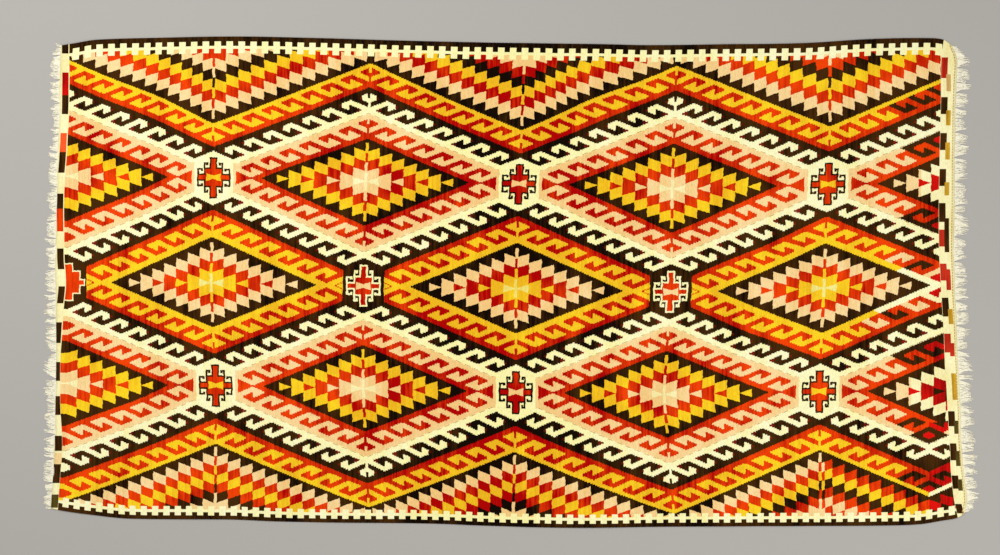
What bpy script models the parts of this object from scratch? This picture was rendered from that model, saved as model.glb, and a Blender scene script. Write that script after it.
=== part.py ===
"""Kilim rug: one flat-woven wool panel with a comb of warp fringe along each end.

The frame is in metres with +Z up, and the rug lies on the plane z = 0.
+X runs along the warps, which is the long way of the rug, and +Y runs along the wefts.
The origin is the middle of the whole rug, fringes included, at the floor.

Three solids are made:
  kilim_panel   the woven cloth, selvedges and stitched end strips included, in one sheet
  fringe_left   the knot-free warp ends past the left end, as one comb
  fringe_right  the same past the right end
"""
import math

import bmesh
import bpy

# ---- driving dimensions, in millimetres ----
CLOTH_THICKNESS = 3.0      # slit tapestry in wool, with its stitched end strips
FRINGE_THICKNESS = 2.0     # plied warp ends lying flat
GAP = 0.35                 # clear space between the cloth and each comb
EDGE_STEP = 30.0           # distance between outline points along a selvedge
SPINE_WIDTH = 5.0          # part of a comb that stays whole, next to the cloth
CLUMPS = 56                # tufts that the warp ends fall into at each end

# The old rug is not a true rectangle. Each long edge is a row of places along the rug,
# with how far across that edge lies there.
#               along    across
FAR_SELVEDGE = (
    (-1412.0, 744.0),
    (-1369.0, 751.0),
    (-1300.0, 762.0),
    (-1070.0, 769.0),
    (-820.0, 772.0),
    (-360.0, 760.0),
    (-120.0, 754.0),
    (280.0, 748.0),
    (430.0, 745.0),
    (700.0, 748.0),
    (910.0, 751.0),
    (1130.0, 764.0),
    (1300.0, 767.0),
    (1358.0, 762.0),
    (1384.0, 743.0),
)
NEAR_SELVEDGE = (
    (-1443.0, -709.0),
    (-1397.0, -718.0),
    (-1325.0, -728.0),
    (-1200.0, -741.0),
    (-880.0, -744.0),
    (-700.0, -751.0),
    (-240.0, -757.0),
    (-60.0, -764.0),
    (180.0, -770.0),
    (450.0, -767.0),
    (750.0, -765.0),
    (1150.0, -763.0),
    (1280.0, -759.0),
    (1350.0, -748.0),
    (1403.0, -738.0),
    (1422.0, -724.0),
)
# Each end is a row of places across the rug: how far along the cloth ends there, and how
# far the longest warp ends reach past it.
#          across    along  reach
LEFT_END = (
    (-709.0, -1443.0, 23.0),
    (-670.0, -1441.0, 30.0),
    (-600.0, -1437.0, 34.0),
    (-430.0, -1430.0, 37.0),
    (-150.0, -1427.0, 38.0),
    (100.0, -1430.0, 33.0),
    (260.0, -1424.0, 35.0),
    (390.0, -1424.0, 30.0),
    (510.0, -1417.0, 27.0),
    (650.0, -1416.0, 33.0),
    (744.0, -1412.0, 27.0),
)
RIGHT_END = (
    (-724.0, 1422.0, 24.0),
    (-683.0, 1430.0, 40.0),
    (-600.0, 1422.0, 44.0),
    (-530.0, 1414.0, 47.0),
    (-430.0, 1411.0, 46.0),
    (-180.0, 1400.0, 42.0),
    (70.0, 1390.0, 44.0),
    (260.0, 1391.0, 44.0),
    (480.0, 1393.0, 43.0),
    (610.0, 1396.0, 45.0),
    (700.0, 1400.0, 40.0),
    (743.0, 1384.0, 22.0),
)

# ---- material values ----
MADDER_RED = (0.55, 0.03, 0.01)
UNDYED_CREAM = (0.83, 0.74, 0.50)
WOOL_ROUGHNESS = 0.9


def smooth_value(rows, place, column):
    """Read a table at any place, on a smooth curve through its rows."""
    last = len(rows) - 1
    low = 0
    while low < last - 1 and place > rows[low + 1][0]:
        low += 1
    start, end = rows[low], rows[low + 1]
    before, after = rows[max(low - 1, 0)], rows[min(low + 2, last)]
    span = end[0] - start[0]
    share = min(max((place - start[0]) / span, 0.0), 1.0)
    slope_in = (end[column] - before[column]) / (end[0] - before[0]) * span
    slope_out = (after[column] - start[column]) / (after[0] - start[0]) * span
    rise = end[column] - start[column]
    cubic = slope_in + slope_out - 2.0 * rise
    square = 3.0 * rise - 2.0 * slope_in - slope_out
    return start[column] + share * (slope_in + share * (square + share * cubic))


def cloth_point(length_share, width_share):
    """A point of the cloth from its shares of the length and the width, 0 to 1."""
    along = across = 0.0
    for _ in range(6):
        left, right = smooth_value(LEFT_END, across, 1), smooth_value(RIGHT_END, across, 1)
        along = left + length_share * (right - left)
        near, far = smooth_value(NEAR_SELVEDGE, along, 1), smooth_value(FAR_SELVEDGE, along, 1)
        across = near + width_share * (far - near)
    return along, across


def cloth_outline():
    """The closed outline of the cloth, counter-clockwise from its near left corner."""
    steps = round((RIGHT_END[0][1] - LEFT_END[0][1]) / EDGE_STEP)
    near = [cloth_point(step / steps, 0.0) for step in range(steps)]
    right = [cloth_point(1.0, clump / CLUMPS) for clump in range(CLUMPS)]
    far = [cloth_point(1.0 - step / steps, 1.0) for step in range(steps)]
    left = [cloth_point(0.0, 1.0 - clump / CLUMPS) for clump in range(CLUMPS)]
    return near + right + far + left


def comb_outline(length_share, rows, outwards):
    """The outline of one fringe: a spine beside the cloth, with a tapered tuft per clump."""
    spine, tufts = [], []
    for clump in range(CLUMPS):
        low = cloth_point(length_share, clump / CLUMPS)
        middle = cloth_point(length_share, (clump + 0.5) / CLUMPS)
        high = cloth_point(length_share, (clump + 1) / CLUMPS)
        pitch = high[1] - low[1]
        # Tufts differ in length, in lean and in how deep the parting between them runs.
        unevenness = 0.5 + 0.5 * math.sin(2.4 * clump + 1.3 * math.sin(1.7 * clump))
        reach = smooth_value(rows, middle[1], 2) * (0.72 + 0.28 * unevenness)
        lean = 0.30 * pitch * math.sin(1.9 * clump + outwards)
        parting = SPINE_WIDTH + 0.35 * reach * (1.0 - unevenness)
        spine.append((low[0] + outwards * GAP, low[1]))
        tufts.append((low[0] + outwards * (GAP + parting), low[1] + 0.04 * pitch))
        tufts.append((middle[0] + outwards * reach, middle[1] + lean - 0.17 * pitch))
        tufts.append((middle[0] + outwards * 0.96 * reach, middle[1] + lean + 0.17 * pitch))
        tufts.append((high[0] + outwards * (GAP + parting), high[1] - 0.04 * pitch))
    top = cloth_point(length_share, 1.0)
    spine.append((top[0] + outwards * GAP, top[1]))
    return spine + tufts[::-1]


def middle_of(outlines):
    """The middle of the box around several outlines."""
    alongs = [point[0] for outline in outlines for point in outline]
    acrosses = [point[1] for outline in outlines for point in outline]
    return (min(alongs) + max(alongs)) / 2.0, (min(acrosses) + max(acrosses)) / 2.0


def wool(name, colour):
    """A matt wool material for one piece."""
    material = bpy.data.materials.new(name)
    material.use_nodes = True
    shader = material.node_tree.nodes["Principled BSDF"]
    shader.inputs["Base Color"].default_value = (*colour, 1.0)
    shader.inputs["Roughness"].default_value = WOOL_ROUGHNESS
    shader.inputs["Metallic"].default_value = 0.0
    return material


def flat_piece(name, outline, centre, thickness, material):
    """Raise one outline from the floor into a flat closed solid."""
    mesh = bpy.data.meshes.new(name)
    shape = bmesh.new()
    corners = [
        shape.verts.new(((along - centre[0]) / 1000.0, (across - centre[1]) / 1000.0, 0.0))
        for along, across in outline
    ]
    sole = shape.faces.new(corners)
    raised = bmesh.ops.extrude_face_region(shape, geom=[sole], use_keep_orig=True)
    for item in raised["geom"]:
        if isinstance(item, bmesh.types.BMVert):
            item.co.z = thickness / 1000.0
    bmesh.ops.recalc_face_normals(shape, faces=shape.faces)
    shape.to_mesh(mesh)
    shape.free()
    mesh.materials.append(material)
    piece = bpy.data.objects.new(name, mesh)
    bpy.context.scene.collection.objects.link(piece)
    return piece


def main():
    for old in list(bpy.data.objects):
        bpy.data.objects.remove(old, do_unlink=True)
    panel = cloth_outline()
    left_comb = comb_outline(0.0, LEFT_END, -1.0)
    right_comb = comb_outline(1.0, RIGHT_END, 1.0)
    centre = middle_of((panel, left_comb, right_comb))
    dyed = wool("dyed_wool", MADDER_RED)
    undyed = wool("undyed_warp_wool", UNDYED_CREAM)
    flat_piece("kilim_panel", panel, centre, CLOTH_THICKNESS, dyed)
    flat_piece("fringe_left", left_comb, centre, FRINGE_THICKNESS, undyed)
    flat_piece("fringe_right", right_comb, centre, FRINGE_THICKNESS, undyed)


main()
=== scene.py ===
# %% [markdown]
# # An old flat-woven kilim rug
# The rug is one wool cloth with no pile. Coloured wefts are packed down over cream warps, and
# each colour turns back at its own edge, so every slanting line climbs in small steps.
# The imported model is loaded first. It says where each piece lies and how large it is, and
# nothing here moves it: the cloth and the two fringes are modelled again in finer form.

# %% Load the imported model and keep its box
import math

import bpy
import numpy as np
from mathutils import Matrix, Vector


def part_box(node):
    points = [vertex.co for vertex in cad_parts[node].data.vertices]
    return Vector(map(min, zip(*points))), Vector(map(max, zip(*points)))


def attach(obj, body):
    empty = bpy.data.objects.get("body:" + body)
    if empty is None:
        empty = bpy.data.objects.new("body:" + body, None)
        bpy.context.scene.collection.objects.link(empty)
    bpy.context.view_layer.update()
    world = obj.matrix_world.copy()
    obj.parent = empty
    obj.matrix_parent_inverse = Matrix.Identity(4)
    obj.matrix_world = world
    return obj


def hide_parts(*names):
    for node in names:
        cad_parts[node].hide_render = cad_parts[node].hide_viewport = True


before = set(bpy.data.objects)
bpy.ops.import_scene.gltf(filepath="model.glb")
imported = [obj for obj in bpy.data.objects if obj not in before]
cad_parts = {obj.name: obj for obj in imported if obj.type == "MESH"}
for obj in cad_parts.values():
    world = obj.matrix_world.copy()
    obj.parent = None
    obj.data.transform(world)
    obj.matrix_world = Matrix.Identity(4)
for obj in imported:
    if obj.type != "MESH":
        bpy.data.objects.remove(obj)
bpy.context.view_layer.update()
MM = 0.001
print("packed nodes:", sorted(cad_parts))

# %% [markdown]
# ## The outline of the cloth
# A hand loom never holds its width, so neither selvedge is straight and the ends bow.
# Each edge is a short list of places, read on a smooth curve. A point of the cloth is then
# known by its share of the length and its share of the width, wherever the edges wander.

# %% Edges of the cloth, in millimetres
#               along  across
FAR_SELVEDGE = ((-1412, 744), (-1369, 751), (-1300, 762), (-1070, 769), (-820, 772), (-360, 760),
                (-120, 754), (280, 748), (430, 745), (700, 748), (910, 751), (1130, 764),
                (1300, 767), (1358, 762), (1384, 743))
NEAR_SELVEDGE = ((-1443, -709), (-1397, -718), (-1325, -728), (-1200, -741), (-880, -744),
                 (-700, -751), (-240, -757), (-60, -764), (180, -770), (450, -767),
                 (750, -765), (1150, -763), (1280, -759), (1350, -748), (1403, -738),
                 (1422, -724))
#           across  along  reach of the fringe
LEFT_END = ((-709, -1443, 23), (-670, -1441, 30), (-600, -1437, 34), (-430, -1430, 37),
            (-150, -1427, 38), (100, -1430, 33), (260, -1424, 35), (390, -1424, 30),
            (510, -1417, 27), (650, -1416, 33), (744, -1412, 27))
RIGHT_END = ((-724, 1422, 24), (-683, 1430, 40), (-600, 1422, 44), (-530, 1414, 47),
             (-430, 1411, 46), (-180, 1400, 42), (70, 1390, 44), (260, 1391, 44),
             (480, 1393, 43), (610, 1396, 45), (700, 1400, 40), (743, 1384, 22))

# Where the woven field stops short of each end.
#              across  along
FIELD_LEFT = ((-709, -1421), (-620, -1416), (-516, -1408), (-410, -1413), (-253, -1414),
              (-96, -1404), (0, -1397), (80, -1401), (290, -1401), (394, -1394), (551, -1386),
              (744, -1386))
FIELD_RIGHT = ((-736, 1402), (-683, 1390), (-620, 1383), (-526, 1377), (-432, 1372),
               (-275, 1363), (-149, 1357), (8, 1348), (71, 1344), (165, 1342), (353, 1344),
               (573, 1349), (699, 1350), (761, 1358))


def smooth_value(rows, place, column):
    """Read a list at any place, on a smooth curve through its rows."""
    last = len(rows) - 1
    low = 0
    while low < last - 1 and place > rows[low + 1][0]:
        low += 1
    start, end = rows[low], rows[low + 1]
    before, after = rows[max(low - 1, 0)], rows[min(low + 2, last)]
    span = end[0] - start[0]
    share = min(max((place - start[0]) / span, 0.0), 1.0)
    slope_in = (end[column] - before[column]) / (end[0] - before[0]) * span
    slope_out = (after[column] - start[column]) / (after[0] - start[0]) * span
    rise = end[column] - start[column]
    cubic = slope_in + slope_out - 2.0 * rise
    square = 3.0 * rise - 2.0 * slope_in - slope_out
    return start[column] + share * (slope_in + share * (square + share * cubic))


def read_over(rows, places):
    """Read the second column of a list over a whole grid of places."""
    return np.array([[smooth_value(rows, place, 1) for place in line] for line in places])


def cloth_point(length_share, width_share):
    """A point of the cloth from its shares of the length and the width, 0 to 1."""
    along = across = 0.0
    for _ in range(6):
        left, right = smooth_value(LEFT_END, across, 1), smooth_value(RIGHT_END, across, 1)
        along = left + length_share * (right - left)
        near, far = smooth_value(NEAR_SELVEDGE, along, 1), smooth_value(FAR_SELVEDGE, along, 1)
        across = near + width_share * (far - near)
    return along, across


print(f"the far left corner lies at {cloth_point(0.0, 1.0)[0]:.0f}, {cloth_point(0.0, 1.0)[1]:.0f} mm")

# %% [markdown]
# The lists are measured from the middle of the pattern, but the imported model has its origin
# under the middle of its box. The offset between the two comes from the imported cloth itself.

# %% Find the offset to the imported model
TUFTS = 56      # tufts along each end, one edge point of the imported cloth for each
SELVEDGE_STEPS = round((RIGHT_END[0][1] - LEFT_END[0][1]) / 30)
edge_points = [cloth_point(step / SELVEDGE_STEPS, side) for side in (0, 1)
               for step in range(SELVEDGE_STEPS + 1)]
edge_points += [cloth_point(side, tuft / TUFTS) for side in (0, 1) for tuft in range(TUFTS + 1)]
cloth_low, cloth_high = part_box("kilim_panel")
OFFSET = [(cloth_low[axis] + cloth_high[axis]) / 2 / MM
          - (min(p[axis] for p in edge_points) + max(p[axis] for p in edge_points)) / 2
          for axis in (0, 1)]
CLOTH_THICKNESS = cloth_high[2] / MM
print(f"offset {OFFSET[0]:.2f}, {OFFSET[1]:.2f} mm; cloth {CLOTH_THICKNESS:.1f} mm thick")

# %% [markdown]
# ## How the pattern sits on the loom
# The design is a net of stretched diamonds. It is counted, not drawn: one count along the
# warps is a run, and one count across them is a step. The columns of crossings are 64 runs
# apart and the three rows 102 steps. Two more rows, 122 steps further out, mark the points of
# the outer bands. The weaver's tension varied, so nothing is quite in line; the real places
# are listed, and the counts at any point are read between them.

# %% The crossings of the net, in millimetres
RUN = 7.46             # length of one count along the warps
STEP = 3.1             # width of one count across the warps
HALF_REPEAT = 64       # runs between crossings
ROW_SPACING = 102      # steps between the rows of crossings
NET_COLUMNS = 7        # the middle one is column 0
NET_ROWS = (-224, -102, 0, 102, 224)
NET_ALONG = np.array(((-1410, -928, -446, 6, 512, 972, 1441),
                      (-1401, -926, -464, 16, 480, 967, 1441),
                      (-1394, -942, -464, 15, 502, 983, 1470),
                      (-1398, -934, -455, 25, 506, 996, 1473),
                      (-1391, -936, -440, 44, 521, 1008, 1473)), float)
NET_ACROSS = np.array(((-697, -726, -713, -756, -734, -745, -734),
                       (-316, -322, -333, -344, -351, -341, -342),
                       (0, -1, -11, -19, -30, -17, -4),
                       (334, 331, 317, 311, 299, 309, 314),
                       (708, 697, 696, 668, 688, 705, 699)), float)
PULL_REACH = 130.0     # how far a slack patch of the cloth spreads
#         middle of the patch, and how far it is pulled along and across
PULLS = ((-1100, 690, 16, 2), (-1100, 540, 0, 8), (-1180, 275, 14, -2), (-1180, -353, 9, -4),
         (-663, 290, -10, 2), (60, 590, 0, 8), (250, 635, -30, 4), (562, 260, 0, -7),
         (813, 150, -11, -12), (719, -180, -6, -5), (892, 692, -14, 0),
         (1237, -150, -11, 0))


def place_of_count(runs, steps):
    """Where a count of the pattern lies on the cloth."""
    rows = np.array(NET_ROWS, float)
    column = runs / HALF_REPEAT + NET_COLUMNS // 2
    left = np.clip(np.floor(column).astype(int), 0, NET_COLUMNS - 2)
    low = np.clip(np.searchsorted(rows, steps) - 1, 0, len(rows) - 2)
    along_share = column - left
    across_share = (steps - rows[low]) / (rows[low + 1] - rows[low])
    found = []
    for net in (NET_ALONG, NET_ACROSS):
        bottom = net[low, left] * (1 - along_share) + net[low, left + 1] * along_share
        top = net[low + 1, left] * (1 - along_share) + net[low + 1, left + 1] * along_share
        found.append(bottom * (1 - across_share) + top * across_share)
    shift = [0.0, 0.0]
    for x, y, *pull in PULLS:
        nearness = np.exp(-((found[0] - x) ** 2 + (found[1] - y) ** 2) / PULL_REACH ** 2)
        shift = [old + nearness * push for old, push in zip(shift, pull)]
    return found[0] + shift[0], found[1] + shift[1]


def count_at(along, across):
    """The count of the pattern at a place on the cloth, closed in on step by step."""
    runs, steps = along / RUN, across / STEP
    for _ in range(30):
        reached_along, reached_across = place_of_count(runs, steps)
        runs = runs + (along - reached_along) / RUN
        steps = steps + (across - reached_across) / STEP
    return runs, steps


middle = count_at(np.array([0.0]), np.array([0.0]))
print(f"count in the middle of the net: {middle[0][0]:.2f} runs, {middle[1][0]:.2f} steps")

# %% [markdown]
# ## The cloth as a thin closed sheet
# A grid of small faces follows the edges. It has a top, an underside and a rim, because the
# rug is a real cloth 3 mm thick. Rows crowd together beside the selvedges, where the outer
# warps are doubled and the cloth is a little thicker. The surface is never flat: a heavy
# cloth keeps soft low waves from being rolled and stored.
# Each corner carries its counts and its distances to the four edges as UV maps, so the
# finish can follow the weave and not the room.

# %% Lay out the grid
CELL = 12.0                    # size of a face, in millimetres
SELVEDGE_ROWS = (0.0, 2.0, 4.5, 7.0, 9.5)
LENGTH = 2850.0
WIDTH = 1520.0
rim_shares = [row / WIDTH for row in SELVEDGE_ROWS]
inner_rows = round(WIDTH / CELL)
width_shares = np.array(rim_shares + [step / inner_rows for step in range(1, inner_rows)
                                      if rim_shares[-1] < step / inner_rows < 1 - rim_shares[-1]]
                        + [1 - share for share in reversed(rim_shares)])
length_shares = np.linspace(0, 1, round(LENGTH / CELL) + 1)
grid = np.array([[cloth_point(s, t) for t in width_shares] for s in length_shares])
print(f"grid of {grid.shape[0]} by {grid.shape[1]} points")

# %% [markdown]
# The waves are sums of long slow sines: lengthwise ones from the roll and shorter ones across
# the ends. The selvedge swells over its two doubled warps and drops at the very edge.

# %% Heights of the cloth
along, across = grid[..., 0], grid[..., 1]
from_near = across - read_over(NEAR_SELVEDGE, along)
from_far = read_over(FAR_SELVEDGE, along) - across
from_left = along - read_over(LEFT_END, across)
from_right = read_over(RIGHT_END, across) - along
to_selvedge = np.minimum(from_near, from_far)
to_end = np.minimum(from_left, from_right)
WAVE = 0.55            # half the height of a low wave, in millimetres
END_RUFFLE = 1.1       # height of the ruffles at the ends
SIDE_RUFFLE = 0.6      # the same along the selvedges
RIM = 1.0              # how far in from the edge the cloth is thinner
waves = WAVE * (np.sin(along / 97 + 0.8 * np.sin(across / 260))
                + np.sin(along / 61 + across / 190 + 1.3)
                + 1.2 * np.sin(across / 120 + along / 400)) / 3.2 + WAVE
ruffle = END_RUFFLE * np.exp(-to_end / 45) * (1 + np.sin(across / 31 + 1.7 * np.sin(across / 83)))
ruffle += SIDE_RUFFLE * np.exp(-to_selvedge / 30) * (1 + np.sin(along / 44 + 1.5 * np.sin(along / 130)))
lift = np.maximum(waves + ruffle - 0.35, 0)
swell = 0.5 * np.abs(np.sin(np.pi * np.clip(to_selvedge, 0, 9.0) / 4.5))
top_height = lift + CLOTH_THICKNESS - 0.5 + swell
top_height = np.where(to_selvedge < RIM, lift + 1.9, top_height)
base_height = np.where(to_selvedge < RIM, lift + 0.9, lift)
print(f"top of the cloth from {top_height.min():.1f} to {top_height.max():.1f} mm")

# %% [markdown]
# The faces go round the width like a flattened tube, and a row of faces closes each end.

# %% Join the faces into one closed cloth
rows, columns = grid.shape[:2]


def cloth_corner(level, row, column):
    """The number of a grid point on the top, level 0, or on the underside, level 1."""
    return (level * rows + row) * columns + column


faces = []
for row in range(rows - 1):
    for column in range(columns - 1):
        quad = ((row, column), (row + 1, column), (row + 1, column + 1), (row, column + 1))
        faces.append([cloth_corner(0, *point) for point in quad])
        faces.append([cloth_corner(1, *point) for point in reversed(quad)])
    for column, turn in ((0, 1), (columns - 1, -1)):
        rim = [cloth_corner(1, row, column), cloth_corner(1, row + 1, column),
               cloth_corner(0, row + 1, column), cloth_corner(0, row, column)]
        faces.append(rim[::turn])
for row, turn in ((0, -1), (rows - 1, 1)):
    for column in range(columns - 1):
        rim = [cloth_corner(1, row, column), cloth_corner(1, row, column + 1),
               cloth_corner(0, row, column + 1), cloth_corner(0, row, column)]
        faces.append(rim[::turn])

flat = np.stack((along + OFFSET[0], across + OFFSET[1]), -1).reshape(-1, 2)
points = np.concatenate([np.column_stack((flat, height.ravel()))
                         for height in (top_height, base_height)]) * MM
cloth_mesh = bpy.data.meshes.new("kilim_cloth")
cloth_mesh.from_pydata(points.tolist(), [], faces)
cloth_mesh.shade_smooth()
kilim_cloth = bpy.data.objects.new("kilim_cloth", cloth_mesh)
bpy.context.scene.collection.objects.link(kilim_cloth)
print(f"cloth of {len(cloth_mesh.polygons)} faces")

# %% [markdown]
# The finish has to know where a point lies in the weave. A UV map holds two numbers for every
# corner of every face, so four maps carry the counts and the distances to the edges. Working
# them out in the finish, from Object coordinates, would take hundreds more nodes, because the
# edges are uneven.

# %% UV maps: counts and distances to the edges
loop_corners = np.zeros(len(cloth_mesh.loops), np.int32)
cloth_mesh.loops.foreach_get("vertex_index", loop_corners)


def add_map(name, first, second):
    """Store two numbers for each grid point, the same on both sides of the cloth."""
    pairs = np.column_stack((np.ravel(first), np.ravel(second)))
    layer = cloth_mesh.uv_layers.new(name=name)
    layer.uv.foreach_set("vector", np.tile(pairs, (2, 1))[loop_corners].ravel())


add_map("counts", *count_at(along, across))
add_map("from_ends", from_left, from_right)
add_map("inside_field", along - read_over(FIELD_LEFT, across),
        read_over(FIELD_RIGHT, across) - along)
add_map("from_selvedges", from_near, from_far)
print("maps:", [layer.name for layer in cloth_mesh.uv_layers])

# %% [markdown]
# ## Counting in the finish
# The pattern is a finish that works itself out at every point of the cloth. A chart of
# coloured squares would also do, but a rule stays sharp at any size. Each number in the rule
# is one Math node. The small class below lets the rule be written as ordinary sums:
# adding two readings makes an Add node and links it up.

# %% A reading is a number that the finish works out at each point
class Reading:
    """The output of a node, with the usual signs for sums and tests."""

    def __init__(self, socket):
        self.socket = socket

    def __add__(self, other):
        return maths("ADD", self, other)

    def __sub__(self, other):
        return maths("SUBTRACT", self, other)

    def __rsub__(self, other):
        return maths("SUBTRACT", other, self)

    def __mul__(self, other):
        return maths("MULTIPLY", self, other)

    __and__ = __mul__

    def __truediv__(self, other):
        return maths("DIVIDE", self, other)

    def __lt__(self, other):
        return maths("LESS_THAN", self, other)

    def __gt__(self, other):
        return maths("GREATER_THAN", self, other)

    def __or__(self, other):
        return maths("MAXIMUM", self, other)

    def __invert__(self):
        return maths("SUBTRACT", 1.0, self)

    def __abs__(self):
        return maths("ABSOLUTE", self)


def maths(operation, *values):
    """Make one Math node and link the readings among its values."""
    tree = next(value.socket.id_data for value in values if isinstance(value, Reading))
    node = tree.nodes.new("ShaderNodeMath")
    node.operation = operation
    for slot, value in enumerate(values):
        if isinstance(value, Reading):
            tree.links.new(value.socket, node.inputs[slot])
        else:
            node.inputs[slot].default_value = value
    return Reading(node.outputs[0])


def choose(test, yes, no):
    """One value where the test holds and another where it doesn't."""
    if not isinstance(yes, Reading) and not isinstance(no, Reading):
        return maths("MULTIPLY_ADD", test, yes - no, no)
    tree = test.socket.id_data
    node = tree.nodes.new("ShaderNodeMix")
    for slot, value in ((0, test), (2, no), (3, yes)):
        if isinstance(value, Reading):
            tree.links.new(value.socket, node.inputs[slot])
        else:
            node.inputs[slot].default_value = value
    return Reading(node.outputs[0])


print("sums can now be written as nodes")

# %% [markdown]
# A list of yarns is read with a Color Ramp set to Constant: each stop holds a yarn's number
# as a grey. It takes one node where a chain of tests would take a dozen.

# %% Yarns and how to look one up
YARNS = ("black", "cream", "white", "pink", "red", "crimson", "orange_red", "gold",
         "pale_yellow", "tan", "olive", "madder", "oxblood", "brass")
YARN = {name: float(number) for number, name in enumerate(YARNS)}
GREYS = 32.0           # more than the largest yarn number, so each one fits in a grey


def stepped_ramp(place, steps):
    """A Color Ramp set to Constant. A step is a place from 0 to 1 and the colour from there."""
    tree = place.socket.id_data
    ramp = tree.nodes.new("ShaderNodeValToRGB")
    stops = ramp.color_ramp
    stops.interpolation = "CONSTANT"
    stops.elements.remove(stops.elements[1])
    for number, (position, colour) in enumerate(steps):
        stop = stops.elements.new(position) if number else stops.elements[0]
        stop.position = position
        stop.color = (*colour, 1.0)
    tree.links.new(place.socket, ramp.inputs[0])
    return ramp.outputs[0]


def grey(name):
    """A yarn's number as a grey, small enough for a ramp to hold."""
    return [YARN[name] / GREYS] * 3


def pick(place, names):
    """Count along a list of yarn names. Place 0 is the first."""
    steps = [(number / len(names), grey(name)) for number, name in enumerate(names)
             if number == 0 or name != names[number - 1]]
    return Reading(stepped_ramp((place + 0.5) / len(names), steps)) * GREYS


def read_map(tree, name):
    """The two numbers of one of the cloth's UV maps."""
    source = tree.nodes.new("ShaderNodeUVMap")
    source.uv_map = name
    parts = tree.nodes.new("ShaderNodeSeparateXYZ")
    tree.links.new(source.outputs[0], parts.inputs[0])
    return Reading(parts.outputs[0]), Reading(parts.outputs[1])


print(len(YARNS), "yarns")

# %% [markdown]
# ## Folding the net
# One quarter of a diamond holds the whole rule, because the net mirrors at every crossing.
# PINGPONG folds the counts back and forth, like folding paper before cutting a snowflake.
# `aside` is the count from the nearest odd column, `away` from the nearest outer row, and
# their sum `ring` grows from the heart of a diamond out through its three hooked bands.

# %% Fold the counts
FIRST_BAND = 44.0      # the ring where the innermost band starts
BAND = 26.0            # rings in a band
OUTER = FIRST_BAND + 3 * BAND


def fold(runs, steps):
    """Fold the counts into one quarter diamond."""
    aside = maths("PINGPONG", runs + HALF_REPEAT, float(HALF_REPEAT))
    height = abs(steps)
    away = abs(height - ROW_SPACING)
    return aside, height, away


def snapped(count):
    """The middle of the count that a point falls in, so that slants climb in steps."""
    return maths("FLOOR", count) + 0.5


print(f"bands at rings {FIRST_BAND:.0f}, {FIRST_BAND + BAND:.0f} and {FIRST_BAND + 2 * BAND:.0f}")

# %% [markdown]
# ## Running hooks
# All three bands carry the same border, which weavers call running water or hooks: two
# colours interlock, each with the same hook. Slanting arms repeat every 16 counts, and a
# vertical cut down the middle of each one turns its end into a hook.

# %% The rule for one band of hooks
LINE = 5.0             # counts in the plain line on the inner side of a band
OUTER_LINE = 20.0      # depth where the plain line on the outer side starts
HOOK_PITCH = 16.0      # counts from one hook to the next
HOOK_WIDTH = 8.0       # the same, in runs
ARM_END = 4.5          # how far the slanting arm goes through one pitch
HEAD_END = 10.5        # how far the head of the hook goes
HALF = 0.5             # half a count, to test between whole counts


def hooks(aside, away):
    """Say where each point lies among the hooks, and whether it shows the outer yarn.

    It has a band, a depth into it, a slant along it, a place in the pitch, a distance beside
    the cut, and the number of its hook.
    """
    ring = aside + away
    band = maths("FLOOR", (ring - FIRST_BAND) / BAND)
    band = maths("MINIMUM", maths("MAXIMUM", band, 0.0), 2.0)
    start = band * BAND + FIRST_BAND
    depth = ring - start
    slant = away - aside
    place = maths("FLOORED_MODULO", slant - start - LINE, HOOK_PITCH)
    number = (start + LINE + place - slant) / HOOK_PITCH
    beside = aside - number * HOOK_WIDTH
    head_length = choose(abs(band - 1.0) < HALF, 3.0, 4.0)
    head = (place < HEAD_END) & ((beside < 0.0) | (beside > head_length))
    outer = (((place < ARM_END) | head) & (depth > LINE - HALF)) | (depth > OUTER_LINE - HALF)
    return band, depth, slant, place, beside, outer, number


print(f"a hook every {HOOK_WIDTH * RUN:.0f} mm along the rug")

# %% [markdown]
# Where two bands meet in a point, the weaver closed them with a small split diamond: a slit
# of the other colour marks the fold. Beside the medallions a band stays plain. Near the end
# of the rug the gold and the pink ran out, and other yarns were put in their place.

# %% Yarns of the hooked bands
SLIT = 0.5             # half the width of a slit, in runs
SPLIT = (10.5, 14.5)   # depths where a split diamond changes yarn
LOW_ENDS = (-47.0, -37.0)      # slants under which the first and second bands stay plain
HIGH_ENDS = (75.0, 90.0)       # slants over which the second and third bands stay plain
LAST_RED = 2.5         # hooks left before the end of the net when the bright red ran out
LAST_PINK = 3.5        # the same for the pink yarn, which lasted a hook longer on the near side
LAST_GOLD = 4.5        # the same for the gold yarn
LAST_PART = 2.0 * HALF_REPEAT      # run where the last part of the rug starts
LAST_CORNER = -132.0   # step below which the last corner lies


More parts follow.
